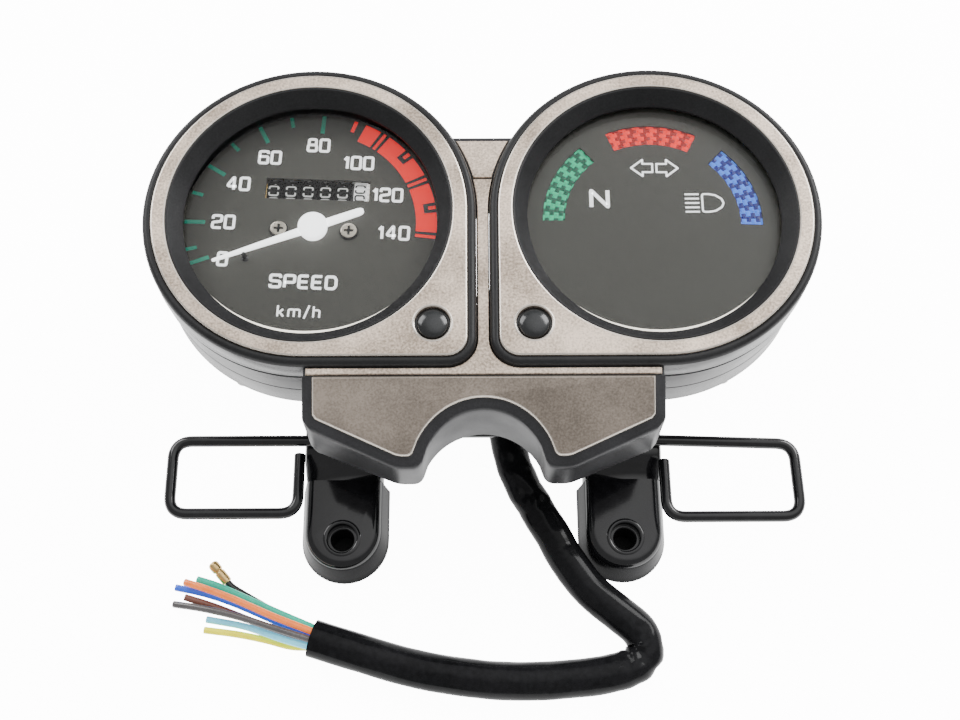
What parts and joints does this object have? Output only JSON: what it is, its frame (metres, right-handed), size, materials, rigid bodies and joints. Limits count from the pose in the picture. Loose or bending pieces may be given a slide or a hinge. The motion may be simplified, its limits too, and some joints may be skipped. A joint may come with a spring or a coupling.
{
  "type": "motorcycle instrument cluster",
  "caption": "Twin-pod motorcycle instrument cluster: speedometer with odometer, indicator lamp panel, centre cover, steel bracket, cable guides and wiring tail.",
  "frame": {"origin": "midway between the two leg mounting holes, on the plane under the legs", "axes": "+X to the rider's right, +Y towards the top of the dials, +Z out of the dial faces"},
  "size_m": [0.1884, 0.1724, 0.0547],
  "materials": {
    "black_abs": "fine grained black ABS, raised faces sprayed metallic champagne",
    "zinc_steel": "zinc plated",
    "clear_lens": "clear acrylic",
    "black_rubber": "matt",
    "dial_grey": "printed sheet, satin",
    "gloss_black_plastic": "gloss",
    "white_plastic": "satin",
    "aluminium": "spun",
    "brass": "drawn",
    "magnet": "ferrite",
    "zinc_cast": "die-cast zinc",
    "green_lens": "woven-pattern filter",
    "red_lens": "woven-pattern filter",
    "blue_lens": "woven-pattern filter",
    "bulb_glass": "clear",
    "lead_black": "PVC insulation",
    "black_enamel": "gloss black stoved enamel on steel",
    "pvc_sleeve": "limp glossy PVC",
    "wire_teal": "PVC insulation",
    "wire_orange": "PVC insulation",
    "wire_blue": "PVC insulation",
    "wire_brown": "PVC insulation",
    "wire_grey": "PVC insulation",
    "wire_light_blue": "PVC insulation",
    "wire_yellow": "PVC insulation"
  },
  "bodies": {
    "housing": {"centre_cover": "black_abs", "cover_screws": "zinc_steel", "speedo_upper_case": "black_abs", "speedo_lens": "clear_lens", "lens_gaskets": "black_rubber", "speedo_dial": "dial_grey", "dial_screws": "zinc_steel", "speedo_lower_case": "black_abs", "indicator_upper_case": "black_abs", "indicator_lens": "clear_lens", "indicator_panel": "dial_grey", "indicator_lower_case": "black_abs", "case_screws": "zinc_steel", "screw_plugs": "gloss_black_plastic", "hairspring": "brass", "movement_frame": "brass", "cable_connector": "zinc_cast", "odometer_shaft": "zinc_steel", "lamp_house": "white_plastic", "neutral_window": "green_lens", "turn_window": "red_lens", "high_beam_window": "blue_lens", "bulb_holders": "black_rubber", "bulbs": "bulb_glass", "speedo_lamp_lead": "lead_black", "neutral_lamp_lead": "lead_black", "turn_lamp_lead": "lead_black", "high_beam_lamp_lead": "lead_black", "bracket": "black_enamel", "cable_guide_left": "black_enamel", "cable_guide_right": "black_enamel", "leg_collars": "black_enamel", "pod_studs": "zinc_steel", "pod_grommets": "black_rubber", "pod_nuts": "zinc_steel", "harness_tie": "gloss_black_plastic", "harness_sleeve": "pvc_sleeve", "wire_teal": "wire_teal", "wire_orange": "wire_orange", "wire_blue": "wire_blue", "wire_brown": "wire_brown", "wire_grey": "wire_grey", "wire_light_blue": "wire_light_blue", "wire_yellow": "wire_yellow", "wire_black": "lead_black", "bullet_terminal": "brass"},
    "needle_set": {"needle": "white_plastic", "needle_spindle": "zinc_steel", "drag_cup": "aluminium"},
    "input_drive": {"input_shaft": "zinc_steel", "drive_magnet": "magnet"},
    "cross_shaft_body": {"cross_shaft": "zinc_steel"},
    "riser_shaft_body": {"riser_shaft": "white_plastic"},
    "pinions_body": {"transfer_pinions": "white_plastic"},
    "drum_1": {"odometer_drum_1": "gloss_black_plastic"},
    "drum_2": {"odometer_drum_2": "gloss_black_plastic"},
    "drum_3": {"odometer_drum_3": "gloss_black_plastic"},
    "drum_4": {"odometer_drum_4": "gloss_black_plastic"},
    "drum_5": {"odometer_drum_5": "gloss_black_plastic"},
    "drum_6": {"odometer_drum_6": "white_plastic"}
  },
  "joints": [
    {"name": "needle_turn", "type": "hinge", "parent": "housing", "child": "needle_set", "pos_m": [-0.048, 0.082, 0.04], "axis": [0, 0, -1], "range_deg": [0, 207], "stiffness_Nm_per_rad": 0.0001},
    {"name": "input_turn", "type": "hinge", "parent": "housing", "child": "input_drive", "pos_m": [-0.048, 0.082, 0.014], "axis": [0, 0, 1], "continuous": true},
    {"name": "cross_turn", "type": "hinge", "parent": "housing", "child": "cross_shaft_body", "pos_m": [-0.04126, 0.08171, 0.0144], "axis": [0.0436, 0.999, 0], "continuous": true},
    {"name": "riser_turn", "type": "hinge", "parent": "housing", "child": "riser_shaft_body", "pos_m": [-0.02903, 0.09929, 0.0144], "axis": [0, 0, 1], "continuous": true},
    {"name": "drum_1_turn", "type": "hinge", "parent": "housing", "child": "drum_1", "pos_m": [-0.04742, 0.09529, 0.034], "axis": [0.999, -0.0436, 0], "continuous": true},
    {"name": "drum_2_turn", "type": "hinge", "parent": "housing", "child": "drum_2", "pos_m": [-0.04742, 0.09529, 0.034], "axis": [0.999, -0.0436, 0], "continuous": true},
    {"name": "drum_3_turn", "type": "hinge", "parent": "housing", "child": "drum_3", "pos_m": [-0.04742, 0.09529, 0.034], "axis": [0.999, -0.0436, 0], "continuous": true},
    {"name": "drum_4_turn", "type": "hinge", "parent": "housing", "child": "drum_4", "pos_m": [-0.04742, 0.09529, 0.034], "axis": [0.999, -0.0436, 0], "continuous": true},
    {"name": "drum_5_turn", "type": "hinge", "parent": "housing", "child": "drum_5", "pos_m": [-0.04742, 0.09529, 0.034], "axis": [0.999, -0.0436, 0], "continuous": true},
    {"name": "drum_6_turn", "type": "hinge", "parent": "housing", "child": "drum_6", "pos_m": [-0.04742, 0.09529, 0.034], "axis": [0.999, -0.0436, 0], "continuous": true},
    {"name": "pinions_turn", "type": "hinge", "parent": "housing", "child": "pinions_body", "pos_m": [-0.04706, 0.10353, 0.034], "axis": [0.999, -0.0436, 0], "continuous": true}
  ],
  "couplings": [
    {"joint": "cross_turn", "follows": "input_turn", "ratio": -0.1},
    {"joint": "riser_turn", "follows": "input_turn", "ratio": -0.0071429},
    {"joint": "drum_6_turn", "follows": "input_turn", "ratio": 0.00071429},
    {"joint": "drum_5_turn", "follows": "input_turn", "ratio": 0.000071429},
    {"joint": "drum_4_turn", "follows": "input_turn", "ratio": 0.0000071429},
    {"joint": "drum_3_turn", "follows": "input_turn", "ratio": 0.00000071429},
    {"joint": "drum_2_turn", "follows": "input_turn", "ratio": 0.000000071429},
    {"joint": "drum_1_turn", "follows": "input_turn", "ratio": 0.0000000071429},
    {"joint": "pinions_turn", "follows": "input_turn", "ratio": -0.00017857}
  ]
}
